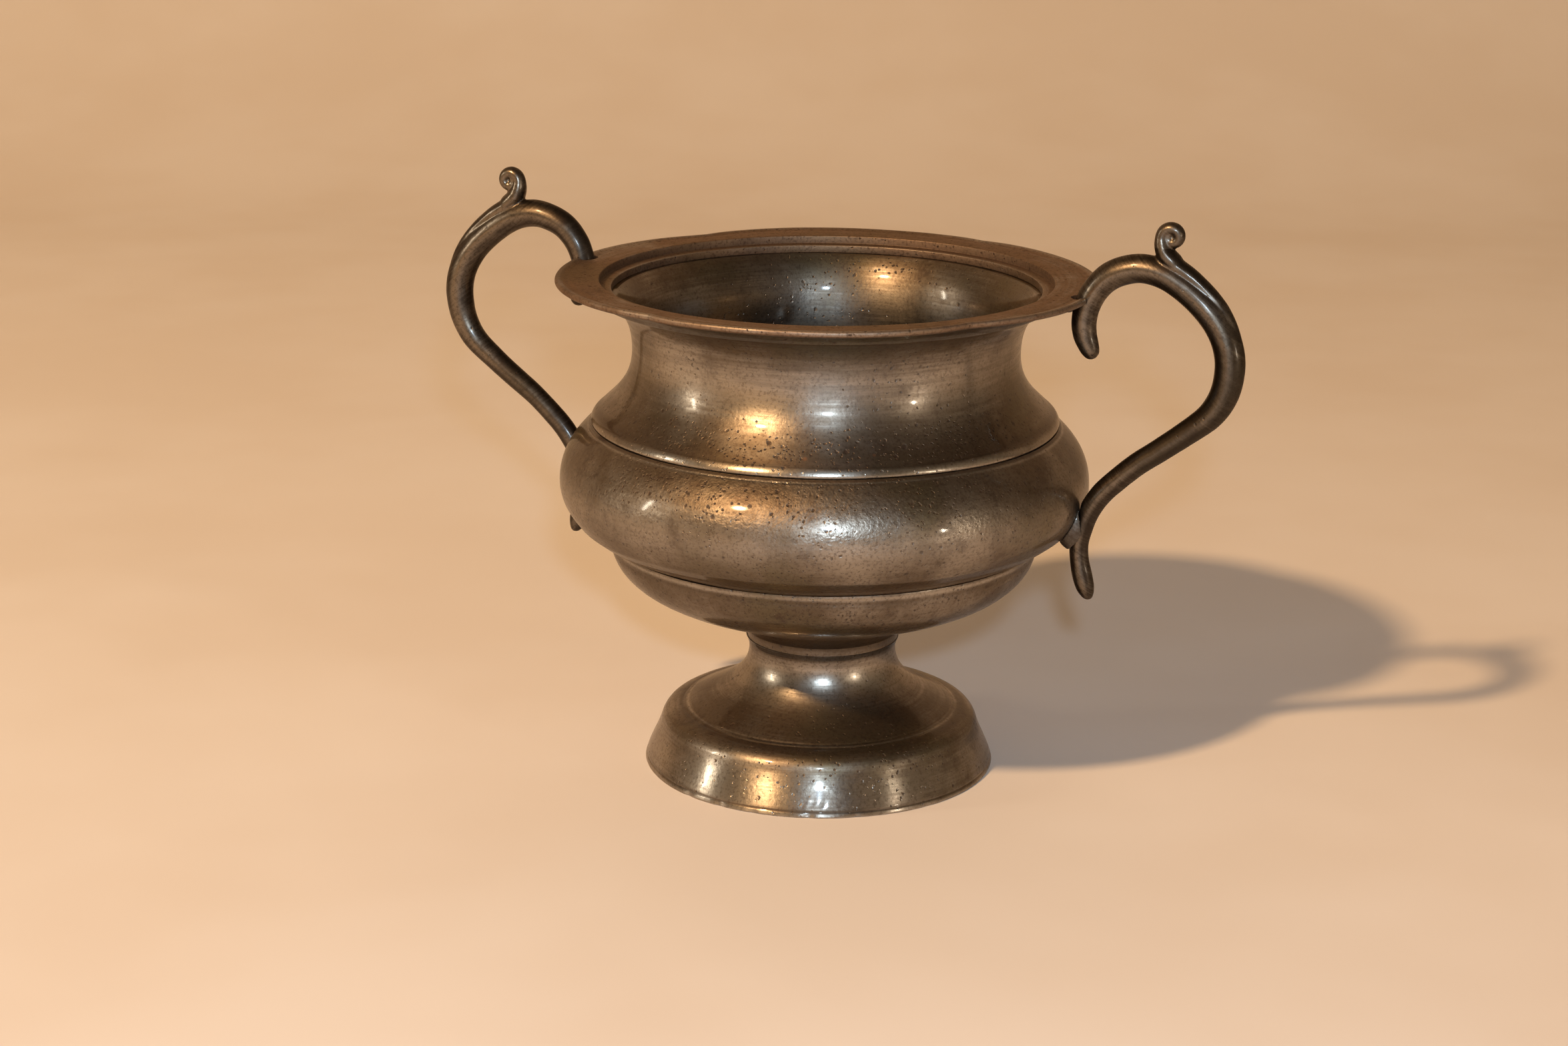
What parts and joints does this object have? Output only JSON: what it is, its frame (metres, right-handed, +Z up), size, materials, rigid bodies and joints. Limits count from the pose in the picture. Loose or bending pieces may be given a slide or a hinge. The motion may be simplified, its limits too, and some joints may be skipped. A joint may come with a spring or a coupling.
{
  "type": "sugar bowl",
  "caption": "Footed pewter sugar bowl with a waisted neck, a wide lobed brim with a seat for a lid, and scroll handles at the sides.",
  "frame": {"origin": "centre of the foot's resting plane", "axes": "+Z up the bowl's axis, +X through one handle, +Y across the handles"},
  "size_m": [0.2116, 0.1342, 0.1468],
  "materials": {
    "body_pewter": "worn, brown-grey patina, satin, pitted",
    "brim_pewter": "dull brown patina with worn bright edges",
    "handle_pewter": "dark smooth patina, rubbed on the ridges",
    "solder": "pale dull solder"
  },
  "bodies": {
    "root": {"foot_pedestal": "body_pewter", "bowl_bottom": "body_pewter", "belly_section": "body_pewter", "neck_section": "body_pewter", "brim": "brim_pewter", "handle_right": "handle_pewter", "handle_left": "handle_pewter", "stem_solder_ring": "solder", "step_solder_ring": "solder", "shoulder_solder_ring": "solder", "brim_solder_ring": "solder", "lower_solder_right": "solder", "lower_solder_left": "solder", "upper_solder_right": "solder", "upper_solder_left": "solder"}
  },
  "joints": []
}
